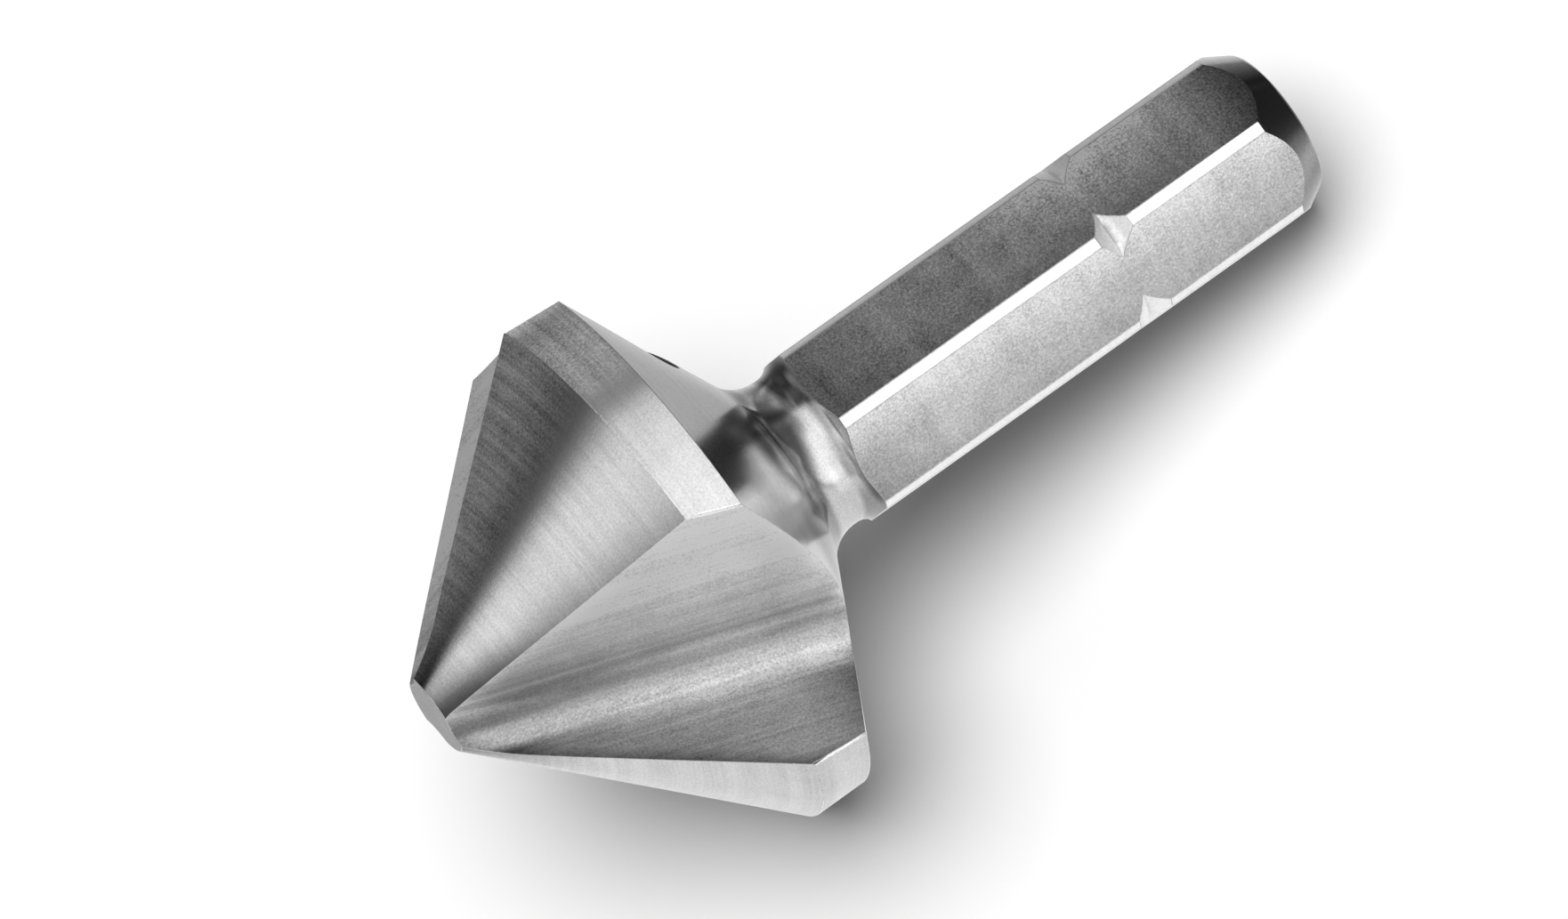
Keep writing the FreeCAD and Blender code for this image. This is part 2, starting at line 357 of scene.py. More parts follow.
def surface_normals(points, surface, which, flat_normal):
    """The exact normal of each point's surface in the tool frame: flat ones have their face's own,
    and the rest follow from the cone, cylinder or arc that they are."""
    radius = np.hypot(points[:, 0], points[:, 1])
    out = np.stack([points[:, 0], points[:, 1], np.zeros(len(points))], axis=1)
    out = out / np.maximum(radius, 1e-9)[:, None]
    up = np.array([0.0, 0.0, 1.0])
    z = points[:, 2]

    def leaning(slope):
        return out * math.cos(radians(slope)) + up * math.sin(radians(slope))

    def round_arc(centre_radius, centre_z):
        return unit(out * (radius - centre_radius)[:, None] + up * (z - centre_z)[:, None])

    shift = LAND_RELIEF / math.sin(radians(LAND_ANGLE))
    land_out = points - radial(PITCH * which - 90.0) * shift
    land_out[:, 2] = 0.0
    end_round_radius = END_FACE_RADIUS - END_ROUND_RADIUS * math.tan(radians(END_CHAMFER_ANGLE))
    root = np.zeros_like(points)
    centre = flute_section()[3]
    for k in range(FLUTES):
        section, _ = in_flute(points, k)
        inward = centre - section
        along = np.stack([-inward[:, 1], inward[:, 0], np.zeros(len(inward))], axis=1)
        across = unit(np.cross(along, FLUTE_RUN))
        across = across * np.sign((across[:, :2] * inward).sum(axis=1))[:, None]
        root[which == k] = turned(across, PITCH * k)[which == k]
    notch = np.where((z < NOTCH_Z)[:, None], leaning(NOTCH_FRONT_ANGLE), leaning(-NOTCH_REAR_ANGLE))
    shapes = {
        LAND: unit(unit(land_out) - up),
        MARGIN: out,
        CORNER: out,
        NECK: out,
        FLARE: leaning(BACK_HALF_ANGLE),
        FRONT_ARC: -round_arc(NECK_RADIUS + FRONT_ARC_RADIUS, FRONT_ARC_Z),
        REAR_ARC: -round_arc(NECK_RADIUS + REAR_ARC_RADIUS, REAR_ARC_Z),
        GROOVE: notch,
        CHAMFER: leaning(END_CHAMFER_ANGLE),
        END_ROUND: round_arc(end_round_radius, SHANK_END_Z - END_ROUND_RADIUS),
        ROOT: root,
    }
    normals = flat_normal.copy()
    for kind, values in shapes.items():
        chosen = surface == kind
        normals[chosen] = values[chosen]
    return normals


def machining_lay(points, surface, which):
    """Each corner's place on its surface and the direction of the machining lines there.

    The first two coordinates of a place run along the lines and the third across them, in
    millimetres. Turned surfaces have them round the axis, flutes along the wheel's line and the
    flats across the shank. The third is the distance along the axis plus that from the axis on the
    front of the head and its margin, and minus it behind them, so both cones keep their lines.
    """
    radius = np.hypot(points[:, 0], points[:, 1])
    z = points[:, 2]
    on_front_edge = (surface == EDGE) & (z <= MARGIN_REAR_Z + 0.01)
    facing_forward = np.isin(surface, (TIP, LAND, MARGIN)) | on_front_edge
    across = np.where(facing_forward, z + radius, z - radius)
    place = np.stack([points[:, 0], points[:, 1], across], axis=1)
    angle = np.degrees(np.arctan2(points[:, 1], points[:, 0]))
    direction = radial(angle + 90.0)
    on_flat = surface == FLAT
    sideways = radial(FIRST_FLAT_ANGLE + FLAT_PITCH * which + 90.0)
    flat_lay = FIRST_FLAT_LAY + LAY_STEP * which
    flat_place = np.stack([(points * sideways).sum(axis=1), flat_lay, z], axis=1)
    place[on_flat] = flat_place[on_flat]
    direction[on_flat] = sideways[on_flat]
    for k in range(FLUTES):
        chosen = ((surface == WALL) | (surface == ROOT)) & (which == k)
        outline = off_flute(points, k)[3]
        run = in_flute(points, k)[1] / math.cos(radians(FLUTE_SLOPE))
        flute_lay = np.full(len(run), FIRST_FLUTE_LAY + LAY_STEP * k)
        place[chosen] = np.stack([run, flute_lay, outline], axis=1)[chosen]
        direction[chosen] = unit(turned(FLUTE_RUN, PITCH * k))
    return place, direction


def corner_values(mesh, points, face_surface):
    """Each face corner's exact normal, its place in the lay and the direction of the lines there.

    A corner of a broken edge takes them from the surface beside it. Where there is none, its normal
    is the mean of those of the faces that meet there."""
    corner_point = read(mesh, "loops", "vertex_index", 1, int)
    totals = read(mesh, "polygons", "loop_total", 1, int)
    corner_face = np.repeat(np.arange(len(totals)), totals)
    face_which = np.zeros(len(totals), np.int32)
    mesh.attributes["which"].data.foreach_get("value", face_which)
    face_normal = read(mesh, "polygons", "normal", 3)
    on_edge = face_surface[corner_face] == EDGE
    point_face = np.full(len(points), -1)
    point_face[corner_point[~on_edge]] = corner_face[~on_edge]
    owner = np.where(on_edge, point_face[corner_point], corner_face)
    loose = owner < 0
    owner = np.where(loose, corner_face, owner)
    corners = points[corner_point]
    surface = face_surface[owner]
    which = face_which[owner]
    normals = surface_normals(corners, surface, which, face_normal[owner])
    point_normal = np.zeros_like(points)
    np.add.at(point_normal, corner_point, face_normal[corner_face])
    normals[loose] = unit(point_normal)[corner_point][loose]
    place, direction = machining_lay(corners, surface, which)
    return normals, place, direction


def burr_faces(mesh, face_surface):
    """Which faces are the burr: the broken edges of the margin beside the flutes."""
    x, y, z = read(mesh, "polygons", "center", 3).T
    beside_margin = (z > MARGIN_FRONT_Z + BURR_WIDTH) & (z < MARGIN_REAR_Z - BURR_WIDTH)
    at_rim = np.hypot(x, y) > HEAD_RADIUS - BURR_DEPTH
    return (face_surface == EDGE) & beside_margin & at_rim


def finished_tool():
    """The countersink with broken edges, exact surface normals and its machining lay."""
    points, faces = tool_mesh()
    points = to_tool(points)
    surface, which = surfaces_of(points, faces)
    mesh = broken_edges(points, faces, surface, which)
    points = read(mesh, "vertices", "co", 3)
    face_surface = read(mesh, "polygons", "material_index", 1, int)
    burr = burr_faces(mesh, face_surface)
    normals, place, direction = corner_values(mesh, points, face_surface)

    mesh.vertices.foreach_set("co", to_row(points).astype(np.float32).ravel())
    lay = mesh.attributes.new("lay", "FLOAT_VECTOR", "CORNER")
    lay.data.foreach_set("vector", place.astype(np.float32).ravel())
    lines = mesh.attributes.new("lay_direction", "FLOAT_VECTOR", "CORNER")
    lines.data.foreach_set("vector", directions_to_row(direction).astype(np.float32).ravel())
    mesh.polygons.foreach_set("use_smooth", np.ones(len(face_surface), bool))
    mesh.update()
    mesh.normals_split_custom_set(directions_to_row(normals).astype(np.float32).tolist())

    finishes = steel_finishes()
    slots = {kind: i for i, (_, kinds) in enumerate(finishes) for kind in kinds}
    mesh.materials.clear()
    for material, _ in finishes:
        mesh.materials.append(material)
    kinds = np.where(burr, BURR, face_surface)
    chosen = np.array([slots[kind] for kind in range(EDGE + 1)])[kinds]
    mesh.polygons.foreach_set("material_index", chosen.astype(np.int32))
    mesh.update()
    tool = bpy.data.objects.new("countersink_bit", mesh)
    bpy.context.scene.collection.objects.link(tool)
    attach(tool, "root")
    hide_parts("countersink")
    tool.visible_diffuse = False


class Nodes:
    """Short calls for building one node tree."""

    def __init__(self, tree):
        self.tree = tree

    def add(self, kind, **values):
        node = self.tree.nodes.new(kind)
        for name, value in values.items():
            setattr(node, name, value)
        return node

    def link(self, start, end):
        self.tree.links.new(start, end)

    def feed(self, socket, value):
        """Sets a socket to a number or colour, or links it to an output."""
        if isinstance(value, bpy.types.NodeSocket):
            self.link(value, socket)
        else:
            socket.default_value = value

    def maths(self, operation, a, b=0.0, c=0.0, clamp=False):
        node = self.add("ShaderNodeMath", operation=operation, use_clamp=clamp)
        for socket, value in zip(node.inputs, (a, b, c)):
            self.feed(socket, value)
        return node.outputs[0]

    def product(self, *values):
        result = values[0]
        for value in values[1:]:
            result = self.maths("MULTIPLY", result, value)
        return result

    def total(self, *values):
        result = values[0]
        for value in values[1:]:
            result = self.maths("ADD", result, value)
        return result

    def vector(self, operation, a, b=(0.0, 0.0, 0.0)):
        node = self.add("ShaderNodeVectorMath", operation=operation)
        self.feed(node.inputs[0], a)
        self.feed(node.inputs[1], b)
        return node.outputs["Value" if operation == "DOT_PRODUCT" else "Vector"]

    def parts(self, vector):
        """The three numbers of a vector."""
        node = self.add("ShaderNodeSeparateXYZ")
        self.link(vector, node.inputs[0])
        return node.outputs

    def ramp(self, value, low, high, start=0.0, end=1.0, kind="LINEAR"):
        """A straight ramp from start to end while the value goes from low to high."""
        node = self.add("ShaderNodeMapRange", interpolation_type=kind)
        for socket, given in zip(node.inputs, (value, low, high, start, end)):
            self.feed(socket, given)
        return node.outputs[0]

    def ease(self, value, low, high, start=0.0, end=1.0):
        """The same ramp with a soft start and a soft end."""
        return self.ramp(value, low, high, start, end, "SMOOTHSTEP")

    def fade(self, value, low, high):
        """A soft ramp from one to nothing."""
        return self.ease(value, low, high, 1.0, 0.0)

    def noise(self, where, scale, detail, roughness):
        node = self.add("ShaderNodeTexNoise")
        self.feed(node.inputs["Vector"], where)
        self.feed(node.inputs["Scale"], scale)
        self.feed(node.inputs["Detail"], detail)
        self.feed(node.inputs["Roughness"], roughness)
        return node.outputs["Fac"]

    def mix(self, share, a, b):
        node = self.add("ShaderNodeMix", data_type="RGBA")
        self.feed(node.inputs["Factor"], share)
        self.feed(node.inputs[6], a)
        self.feed(node.inputs[7], b)
        return node.outputs[2]


def new_group(name, inputs, outputs):
    """A node group with named inputs, given with their default values, and named outputs."""
    group = bpy.data.node_groups.new(name, "ShaderNodeTree")
    for label, value in inputs.items():
        kind = "NodeSocketVector" if isinstance(value, tuple) else "NodeSocketFloat"
        socket = group.interface.new_socket(label, in_out="INPUT", socket_type=kind)
        if kind == "NodeSocketFloat":
            socket.default_value = value
    for label in outputs:
        group.interface.new_socket(label, in_out="OUTPUT", socket_type="NodeSocketFloat")
    nodes = Nodes(group)
    return group, nodes, nodes.add("NodeGroupInput").outputs, nodes.add("NodeGroupOutput").inputs


def grain_group():
    """Fine even grain of hardened steel, with wide faint clouds, from a place in millimetres."""
    group, nodes, given, out = new_group(
        "steel_grain", {"Place": (0.0, 0.0, 0.0), "Grain": 12.0, "Cloud": 0.9}, ["Tone", "Height"])
    fine = nodes.noise(given["Place"], given["Grain"], 3.0, 0.75)
    cloud = nodes.noise(given["Place"], given["Cloud"], 2.0, 0.6)
    wide = nodes.ramp(cloud, 0.3, 0.7, -0.2, 0.2)
    small = nodes.ramp(fine, 0.25, 0.75, -1.0, 1.0)
    nodes.link(nodes.total(small, wide), out["Tone"])
    nodes.link(fine, out["Height"])
    return group


def lines_group():
    """Machining lines: noise stretched along the lay, in a fine and a coarse set."""
    group, nodes, given, out = new_group(
        "machining_lines", {"Place": (0.0, 0.0, 0.0), "Across": 6.0, "Along": 0.12, "Coarse": 0.3},
        ["Tone", "Height"])
    stretch = nodes.add("ShaderNodeCombineXYZ")
    for socket, label in zip(stretch.inputs, ("Along", "Along", "Across")):
        nodes.link(given[label], socket)
    place = nodes.vector("MULTIPLY", given["Place"], stretch.outputs[0])
    fine = nodes.noise(place, 1.0, 3.0, 0.6)
    coarse = nodes.noise(place, given["Coarse"], 1.0, 0.5)
    both = nodes.total(nodes.ramp(fine, 0.3, 0.7, -0.6, 0.6),
                       nodes.ramp(coarse, 0.3, 0.7, -0.4, 0.4))
    nodes.link(both, out["Tone"])
    nodes.link(fine, out["Height"])
    return group


def steel(groups, name, tone, roughness, anisotropy, grain, lines, across, bump, shade=None):
    """One finish of the same steel. Grain and lines are how strongly each varies the tone, and
    shade gives a further share of it, mostly painted highlights and painted shade, and the
    contrast of both, from the place on the surface. Brighter spots are smoother."""
    material = bpy.data.materials.new(name)
    material.use_nodes = True
    nodes = Nodes(material.node_tree)
    shader = material.node_tree.nodes["Principled BSDF"]
    where = nodes.add("ShaderNodeTexCoord").outputs["Object"]
    lay = nodes.add("ShaderNodeAttribute", attribute_name="lay").outputs["Vector"]
    direction = nodes.add("ShaderNodeAttribute", attribute_name="lay_direction").outputs["Vector"]
    grained = nodes.add("ShaderNodeGroup", node_tree=groups["grain"])
    nodes.link(nodes.vector("MULTIPLY", where, (1 / METRES,) * 3), grained.inputs["Place"])
    lined = nodes.add("ShaderNodeGroup", node_tree=groups["lines"])
    nodes.link(lay, lined.inputs["Place"])
    lined.inputs["Across"].default_value = across
    varied = nodes.total(nodes.product(grained.outputs["Tone"], grain),
                         nodes.product(lined.outputs["Tone"], lines))
    # The finish's painted highlights and painted shade, and their contrast, from its shade
    share, contrast = shade(nodes, lay) if shade else (1.0, 1.0)
    mottled = nodes.maths("MAXIMUM", nodes.maths("MULTIPLY_ADD", varied, contrast, 1.0), 0.1)
    brightness = nodes.product(mottled, share, tone)
    brightness = nodes.maths("MAXIMUM", brightness, 0.02, clamp=True)
    colour = nodes.add("ShaderNodeCombineColor")
    for socket in colour.inputs:
        nodes.link(brightness, socket)
    nodes.link(colour.outputs[0], shader.inputs["Base Color"])
    rough = nodes.maths("MULTIPLY_ADD", varied, -0.12, roughness)
    nodes.link(rough, shader.inputs["Roughness"])
    height = nodes.total(nodes.product(grained.outputs["Height"], grain),
                         nodes.product(lined.outputs["Height"], lines))
    relief = nodes.add("ShaderNodeBump")
    relief.inputs["Strength"].default_value = bump
    relief.inputs["Distance"].default_value = 0.02 * METRES
    nodes.link(height, relief.inputs["Height"])
    nodes.link(relief.outputs[0], shader.inputs["Normal"])
    nodes.link(direction, shader.inputs["Tangent"])
    shader.inputs["Metallic"].default_value = 1.0
    shader.inputs["Anisotropic"].default_value = anisotropy
    return material


def place_on_turned(nodes, lay):
    """Distance from the axis, turn about it in degrees and the lay's third part, on a turned or
    relieved surface."""
    x, y, across = nodes.parts(lay)
    radius = nodes.maths("SQRT", nodes.total(nodes.product(x, x), nodes.product(y, y)))
    turn = nodes.product(nodes.maths("ARCTAN2", y, x), 180.0 / math.pi)
    return radius, turn, across


def land_shade(nodes, lay):
    """A land is darker near the tip, most along its trailing edge and its leading part. The one
    that faces up is mottled in its leading part."""
    radius, turn, across = place_on_turned(nodes, lay)
    z = nodes.maths("SUBTRACT", across, radius)
    angle = nodes.maths("WRAP", turn, PITCH, 0.0)
    left = nodes.maths("MULTIPLY_ADD", angle, -math.pi / 180.0, LAND_ANGLE * math.pi / 180.0)
    from_edge = nodes.product(radius, left)
    tip_darkening = nodes.ease(nodes.maths("MULTIPLY_ADD", from_edge, 2.0, z), 0.2, 4.2, 0.40, 1.0)
    leading = nodes.product(nodes.fade(angle, 22.0, 30.0), nodes.ramp(z, 0.0, 3.2, 0.70, 0.0))
    front = nodes.maths("MULTIPLY_ADD", leading, -1.0, 1.0)
    upper = nodes.maths("COMPARE", turn, 125.0, 30.0)
    mottled = nodes.product(nodes.ease(turn, 142.0, 152.0, 2.4, 0.0), upper)
    return nodes.product(tip_darkening, front), nodes.total(mottled, 1.0)


# Painted highlights and painted shade on the turned steel: the share each patch adds or takes,
# the four angles and the four places along the axis between which each rises from nothing and
# falls back to nothing.
TURNED_PATCHES = [
    (-0.84, (60.0, 100.0, 133.0, 155.0), (15.40, 15.85, 16.10, 16.25)),
    (-0.84, (60.0, 100.0, 123.0, 136.0), (16.05, 16.22, 17.00, 17.10)),
    (-0.42, (60.0, 100.0, 147.0, 158.0), (15.32, 15.55, 15.68, 15.85)),
    (-0.36, (152.0, 160.0, 166.0, 176.0), (15.10, 15.38, 15.45, 15.75)),
    (0.36, (154.0, 162.0, 174.0, 190.0), (15.70, 15.90, 16.00, 16.15)),
    (0.66, (136.0, 146.0, 157.0, 164.0), (14.30, 14.70, 15.15, 15.45)),
    (-0.55, (60.0, 100.0, 134.0, 150.0), (13.90, 14.20, 14.45, 14.80)),
    (-0.72, (156.0, 168.0, 184.0, 200.0), (14.05, 14.34, 14.44, 14.72)),
    (-0.16, (196.0, 204.0, 214.0, 222.0), (14.40, 14.55, 14.70, 14.85)),
    (-0.50, (184.0, 204.0, 300.0, 310.0), (12.90, 13.40, 14.65, 14.95)),
    (0.36, (200.0, 207.0, 213.0, 222.0), (13.90, 14.15, 14.35, 14.60)),
    (0.40, (196.0, 207.0, 212.0, 224.0), (15.20, 15.40, 15.75, 15.95)),
    (0.50, (176.0, 190.0, 204.0, 218.0), (16.00, 16.20, 16.60, 16.70)),
    (-0.50, (212.0, 235.0, 300.0, 310.0), (15.80, 16.10, 35.80, 35.95)),
    (-0.82, (145.0, 162.0, 194.0, 214.0), (33.80, 34.60, 35.80, 35.95)),
]


def turned_shade(nodes, lay):
    """The turned steel has painted shade and painted highlights in patches of the arcs at the neck,
    and painted shade on one side of the chamfer."""
    radius, turn, across = place_on_turned(nodes, lay)
    z = nodes.total(across, radius)
    angle = nodes.maths("WRAP", turn, 360.0, 0.0)
    share = 1.0
    for amount, angles, places in TURNED_PATCHES:
        patch = nodes.product(nodes.ease(angle, angles[0], angles[1], 0.0, amount),
                              nodes.fade(angle, angles[2], angles[3]),
                              nodes.ease(z, places[0], places[1]),
                              nodes.fade(z, places[2], places[3]))
        share = nodes.total(patch, share)
    return nodes.maths("MAXIMUM", share, 0.15), 1.6


def flute_shade(nodes, lay):
    """The flute's tone across its root and walls is painted to shape the light it reflects: painted
    shade in the middle of the root, brighter up both walls, and a painted glint beside the root
    towards the tip. It is brighter at both ends of its back wall and darker along the cutting
    edge, towards the tip and where the rake wall ends at the back of the head, and the ends of the
    flutes that face down and back have painted shade."""
    run, number, outline = nodes.parts(lay)
    # Painted reflection: the tone across the root and walls, with a painted glint beside the root
    rake_side = nodes.product(nodes.ease(outline, -1.3, 0.0, 1.05, 0.59),
                              nodes.ramp(outline, -1.6, -1.1, 0.66, 1.0))
    glint = nodes.product(nodes.ramp(run, -4.5, -1.5, 0.36, 0.12),
                          nodes.ease(outline, 1.1, 1.35), nodes.fade(outline, 1.6, 1.85))
    back_side = nodes.total(nodes.ease(outline, 0.1, 1.3, 0.60, 0.72), glint,
                            nodes.ease(outline, 1.7, 2.3, 0.0, -0.09),
                            nodes.ease(outline, 2.6, 6.0, 0.0, 0.54))
    profile = nodes.maths("MAXIMUM", rake_side, back_side)

    beside_crest = nodes.product(nodes.ease(outline, -0.1, 0.35, 0.0, 0.52),
                                 nodes.ramp(outline, 0.7, 1.15, 1.0, 0.0))
    below_crest = nodes.product(nodes.ease(outline, -0.95, -0.35, 0.86, 0.16),
                                nodes.ramp(outline, -1.5, -1.0, 0.64, 1.0))
    tip = nodes.product(nodes.ramp(run, -7.6, -0.4, 1.0, 0.0),
                        nodes.maths("MAXIMUM", below_crest, beside_crest))
    leave = nodes.product(nodes.ramp(run, 1.4, 3.4, 0.0, 0.50),
                          nodes.ramp(outline, -1.8, -1.3, 1.0, 0.0))
    tip_and_exit_darkening = nodes.maths("SUBTRACT", 1.0, nodes.maths("MAXIMUM", tip, leave))

    ends = nodes.total(nodes.ramp(run, 2.6, 4.6, 0.0, 0.30), nodes.ramp(run, -7.8, -1.5, 0.60, 0.0))
    brighter = nodes.maths("MULTIPLY_ADD", ends, nodes.ramp(outline, 1.4, 2.6), 1.0)
    before_margin = nodes.maths("MINIMUM", run, 0.0)
    from_edge = nodes.total(nodes.maths("MULTIPLY_ADD", before_margin, 0.60, 6.03), outline)
    edge = nodes.ramp(from_edge, 0.0, 1.0, 0.30, 1.0)
    # Painted shade where the flutes that face down and back run out behind the head
    down_or_back = nodes.maths("COMPARE", number, FIRST_FLUTE_LAY + LAY_STEP / 2, 15.0)
    far_end = nodes.maths("MULTIPLY_ADD", nodes.ease(run, 3.0, 4.3, 0.0, -0.85), down_or_back, 1.0)
    share = nodes.product(profile, tip_and_exit_darkening, edge, brighter, far_end)
    return share, nodes.ramp(outline, -1.3, 0.6, 1.5, 1.0)


def flat_shade(nodes, lay):
    """A flat has a painted highlight along its first corner, and painted shade towards its far
    corner and at the neck. The one that faces up is painted darker and is more mottled, with a
    painted highlight beside its notch and painted shade at the end."""
    sideways, number, along = nodes.parts(lay)
    upper = nodes.maths("COMPARE", number, FIRST_FLAT_LAY + LAY_STEP * UPPER_FLAT, 5.0)
    # Painted highlight along the first corner, painted shade towards the far corner and at the neck
    first_corner = nodes.total(nodes.product(nodes.ease(sideways, -2.4, 0.4, 0.58, 0.0),
                                             nodes.maths("MULTIPLY_ADD", upper, -0.7, 1.0)), 1.0)
    far_corner = nodes.ease(sideways, 0.2, 1.8, 1.0, 0.78)
    inner = nodes.maths("MAXIMUM", upper, nodes.ramp(sideways, -1.8, 0.6, 0.0, 0.7))
    at_neck = nodes.ease(along, 16.0, 20.2, -0.42, 0.0)
    start = nodes.maths("MULTIPLY_ADD", at_neck, inner, 1.0)
    # Painted highlight beside the notch of the upper flat
    beside_notch = nodes.product(nodes.ease(along, 23.5, 28.5, 0.0, 1.1),
                                 nodes.fade(along, 29.5, 33.5))
    near_corner = nodes.total(nodes.ease(sideways, -1.8, 1.2, 0.9, 0.0),
                              nodes.ease(sideways, -1.8, -0.6, 0.35, 0.0))
    notch_highlight = nodes.product(beside_notch, near_corner, upper)
    # Painted shade at the end of the upper flat
    end = nodes.product(nodes.ease(along, 32.4, 35.5, 0.0, 0.84), upper)
    changed = nodes.maths("SUBTRACT", nodes.total(notch_highlight, 1.0), end)
    # The whole upper flat painted darker, as painted shade
    upper_flat_painted_shade = nodes.maths("MULTIPLY_ADD", upper, -0.34, 1.0)
    share = nodes.product(first_corner, far_corner, start, changed, upper_flat_painted_shade)
    return share, nodes.maths("MULTIPLY_ADD", upper, 0.9, 1.0)


def steel_finishes():
    """Each finish, and the surfaces that have it.

    The numbers of a finish are its tone, roughness and anisotropy, how strongly the grain and the
    lines show, how closely the lines lie, and the strength of the relief."""
    groups = {"grain": grain_group(), "lines": lines_group()}
    cone = ("ground_cone_steel", 0.61, 0.19, 0.5, 0.20, 0.12, 6.0, 0.5, land_shade)
    flute = ("ground_flute_steel", 0.86, 0.34, 0.6, 0.34, 0.20, 4.0, 0.7, flute_shade)
    tip = ("dull_tip_steel", 0.32, 0.40, 0.0, 0.30, 0.0, 4.0, 0.5)
    turned_part = ("turned_steel", 0.60, 0.18, 0.3, 0.13, 0.05, 8.0, 0.03, turned_shade)
    faced_end = ("faced_end_steel", 0.60, 0.18, 0.3, 0.13, 0.05, 8.0, 0.03)
    corner = ("rubbed_corner_steel", 0.95, 0.22, 0.2, 0.10, 0.04, 6.0, 0.2)
    notch = ("rolled_notch_steel", 0.95, 0.55, 0.2, 0.20, 0.04, 6.0, 0.2)
    flat = ("matt_flat_steel", 0.62, 0.19, 0.2, 0.45, 0.10, 3.0, 0.6, flat_shade)
    burr = ("bright_burr_steel", 1.00, 0.35, 0.0, 0.60, 0.0, 3.0, 0.6)
    edge = ("worn_edge_steel", 0.56, 0.30, 0.0, 0.40, 0.0, 3.0, 0.3)
    return [(steel(groups, *finish), surfaces) for finish, surfaces in [
        (cone, (LAND, MARGIN)),
        (flute, (WALL, ROOT)),
        (tip, (TIP,)),
        (turned_part, (FLARE, FRONT_ARC, NECK, REAR_ARC, CHAMFER, END_ROUND)),
        (faced_end, (END_FACE,)),
        (corner, (CORNER,)),
        (notch, (GROOVE,)),
        (flat, (FLAT,)),
        (burr, (BURR,)),
        (edge, (EDGE,)),
    ]]


def studio_world():
    """White where the camera sees it, dim for the floor, and the studio for reflections.

    The steel sees a bright ceiling and front, stronger towards the right, that end in a soft edge
    behind the tool, a white screen on its left, and a dark room behind it and on its right, with a
    pale wall, two soft lights and a low pale strip in it."""
    world = bpy.data.worlds.new("studio")
    world.use_nodes = True
    bpy.context.scene.world = world
    nodes = Nodes(world.node_tree)
    direction = nodes.add("ShaderNodeTexCoord").outputs["Generated"]
    x, y, z = nodes.parts(direction)

    def near(aim):
        """How nearly the direction points at a place in the studio: 1 straight at it."""
        return nodes.vector("DOT_PRODUCT", direction, tuple(Vector(aim).normalized()))

    level = nodes.product(nodes.ramp(x, -0.90, 0.50, 0.22, 1.42),
                          nodes.ramp(y, -0.30, 0.33, 1.0, 0.72))
    screen = nodes.product(nodes.fade(x, -0.72, -0.60), nodes.ease(y, -0.20, 0.16, 0.0, 0.90))
    right = nodes.ease(nodes.maths("MULTIPLY_ADD", y, 0.35, x), 0.45, 0.95, 1.0, 0.09)
    soft_edge = nodes.fade(y, 0.34, 0.48)
    low_front = nodes.ease(near((-0.14, -0.92, 0.36)), 0.95, 0.99, 1.0, 0.88)
    lit = nodes.product(nodes.total(level, screen), right, soft_edge, low_front,
                        nodes.ramp(y, -1.0, -0.80, 0.65, 1.0))

    room = nodes.total(nodes.ease(near((0.34, 0.82, 0.46)), 0.90, 0.99, 0.0, 0.16),
                       nodes.ramp(y, 0.52, 0.78, 0.02, 0.24),
                       nodes.ease(near((-0.17, 0.97, 0.17)), 0.965, 0.995, 0.0, 0.14))
    room = nodes.product(room, nodes.ease(x, 0.55, 0.80, 1.0, 0.6))
    low_strip = nodes.product(nodes.ease(z, -0.25, 0.05, 0.60, 0.0), nodes.ramp(x, -0.1, 0.15),
                              nodes.ramp(y, 0.75, 0.95))
    right_light = nodes.ease(near((0.42, 0.53, 0.74)), 0.965, 0.99, 0.0, 0.21)
    light = nodes.total(lit, room, low_strip, right_light)

    path = nodes.add("ShaderNodeLightPath")
    for_floor = nodes.mix(path.outputs["Is Diffuse Ray"], light, (FLOOR_FILL,) * 3 + (1.0,))
    seen = nodes.mix(path.outputs["Is Camera Ray"], for_floor, (1.0, 1.0, 1.0, 1.0))
    nodes.link(seen, world.node_tree.nodes["Background"].inputs["Color"])


def flat_sheet(name, corners, material):
    """Level rectangles that aren't part of the tool, each from its low and high corner."""
    points = [(x, y, 0.0) for (x0, y0), (x1, y1) in corners
              for x, y in ((x0, y0), (x1, y0), (x1, y1), (x0, y1))]
    faces = [tuple(range(4 * i, 4 * i + 4)) for i in range(len(corners))]
    mesh = bpy.data.meshes.new(name)
    mesh.from_pydata(points, [], faces)
    mesh.materials.append(material)
    sheet = bpy.data.objects.new(name, mesh)
    bpy.context.scene.collection.objects.link(sheet)
    return sheet


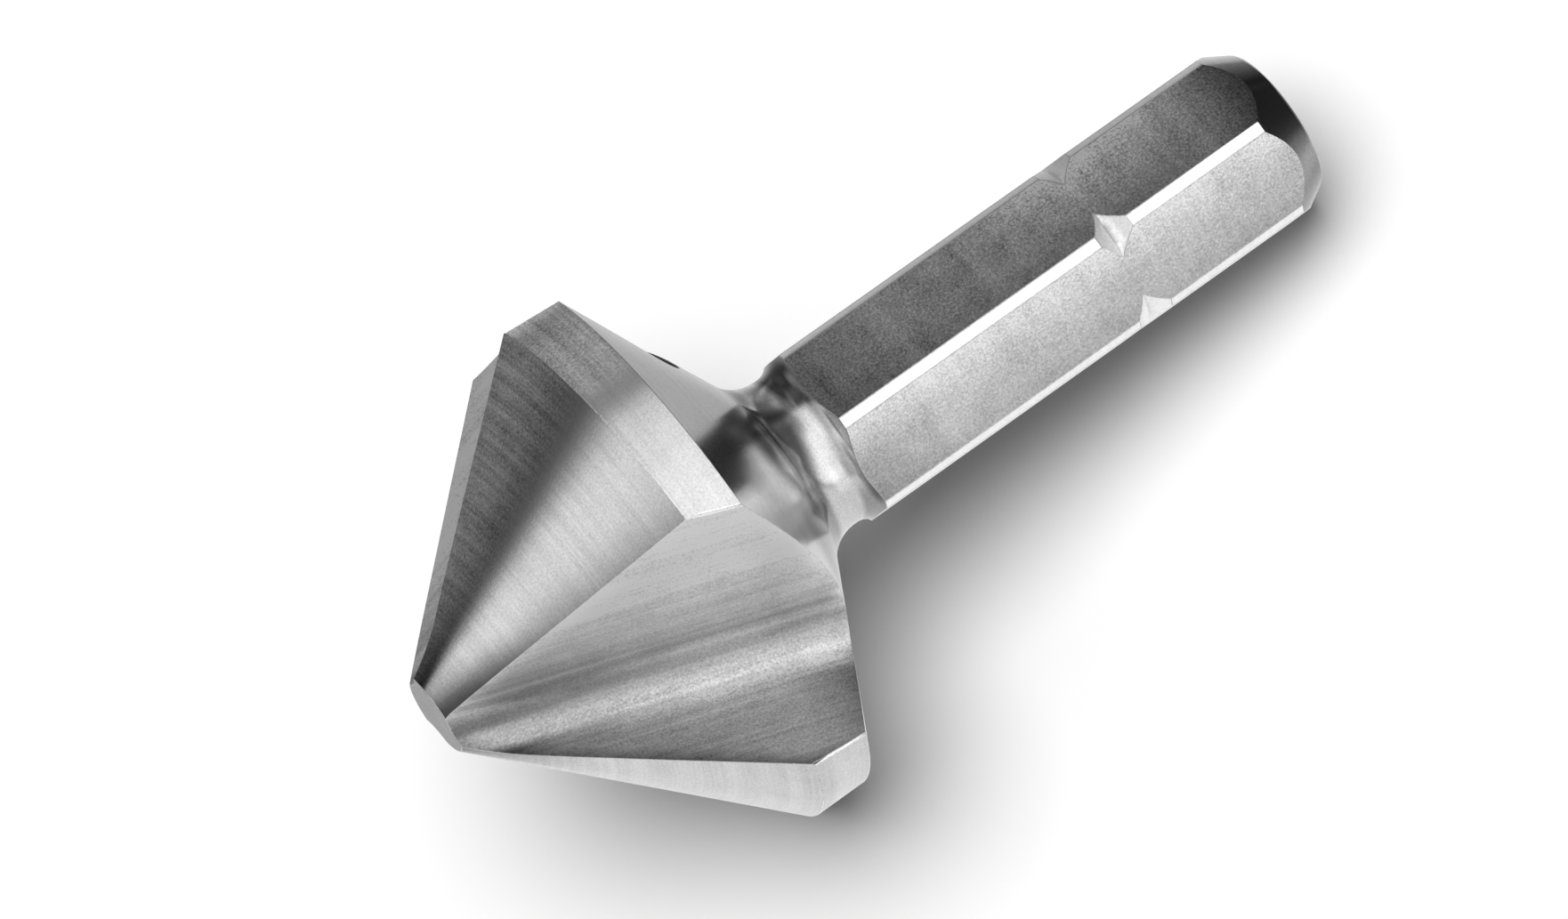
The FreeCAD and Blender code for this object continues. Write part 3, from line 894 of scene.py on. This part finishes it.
def studio_floor():
    """A wide pale floor with the tool's shadow, and the white paper that the steel reflects, which
    ends on the right and narrows behind the tool, with a painted shadow of the tool on it just
    behind the tool."""
    pale = bpy.data.materials.new("pale_floor")
    pale.use_nodes = True
    shader = pale.node_tree.nodes["Principled BSDF"]
    shader.inputs["Base Color"].default_value = (0.98, 0.98, 0.98, 1.0)
    shader.inputs["Roughness"].default_value = 1.0
    shader.inputs["Specular IOR Level"].default_value = 0.0
    floor = flat_sheet("floor", [((-3.0, -3.0), (3.0, 3.0))], pale)
    floor.visible_glossy = False

    white = bpy.data.materials.new("white_paper")
    white.use_nodes = True
    nodes = Nodes(white.node_tree)
    x, y, _ = nodes.parts(nodes.add("ShaderNodeTexCoord").outputs["Object"])
    # Painted shadow of the tool on the reflected paper, just behind the tool
    behind = nodes.product(nodes.ramp(x, -0.005, 0.004, 0.0, 0.45),
                           nodes.ramp(x, 0.008, 0.014, 1.0, 0.0), nodes.ramp(y, 0.003, 0.005))
    farther = nodes.ramp(y, 0.014, 0.030, 1.0, 0.3)
    right = nodes.ramp(x, 0.017, 0.025, 0.93, 0.40)
    glow = nodes.add("ShaderNodeEmission")
    strength = nodes.product(nodes.maths("SUBTRACT", 1.0, behind), farther, right)
    nodes.link(strength, glow.inputs["Strength"])
    nodes.link(glow.outputs[0], white.node_tree.nodes["Material Output"].inputs["Surface"])
    near_side = ((-0.3, -1.5), (0.032, 0.004))
    far_side = ((-0.032, 0.004), (0.024, 0.05))
    paper = flat_sheet("paper", [near_side, far_side], white)
    for ray in ("camera", "diffuse", "shadow", "transmission", "volume_scatter"):
        setattr(paper, "visible_" + ray, False)


def studio_lamp():
    """The wide soft lamp overhead, which throws the shadow below the tool and to its right."""
    light = bpy.data.lights.new("soft_lamp", "SUN")
    light.energy = LAMP_STRENGTH
    light.angle = radians(LAMP_WIDTH)
    lamp = bpy.data.objects.new("soft_lamp", light)
    lamp.rotation_mode = "QUATERNION"
    lamp.rotation_quaternion = LAMP_FROM.to_track_quat("Z", "Y")
    lamp.visible_glossy = False
    bpy.context.scene.collection.objects.link(lamp)


def camera():
    """The photograph's view: a long lens from above the tool's left side, rolled so that the tool
    runs up to the right."""
    right = Vector((0.74482187, -0.58793047, -0.31556004))
    up = Vector((0.6671707, 0.64830327, 0.36685981))
    back = Vector((-0.01116959, -0.48394274, 0.87502838))
    data = bpy.data.cameras.new("camera")
    data.sensor_width = 36.0
    data.lens = 245.93
    data.clip_start = 0.01
    data.clip_end = 20.0
    seen_from = bpy.data.objects.new("camera", data)
    bpy.context.scene.collection.objects.link(seen_from)
    place = Matrix((right, up, back)).transposed().to_4x4()
    place.translation = Vector((-7.12781088, -175.66930374, 325.90054375)) * METRES
    seen_from.matrix_world = place
    bpy.context.scene.camera = seen_from


finished_tool()
studio_world()
studio_floor()
studio_lamp()
camera()
bpy.context.scene.view_settings.view_transform = "Standard"
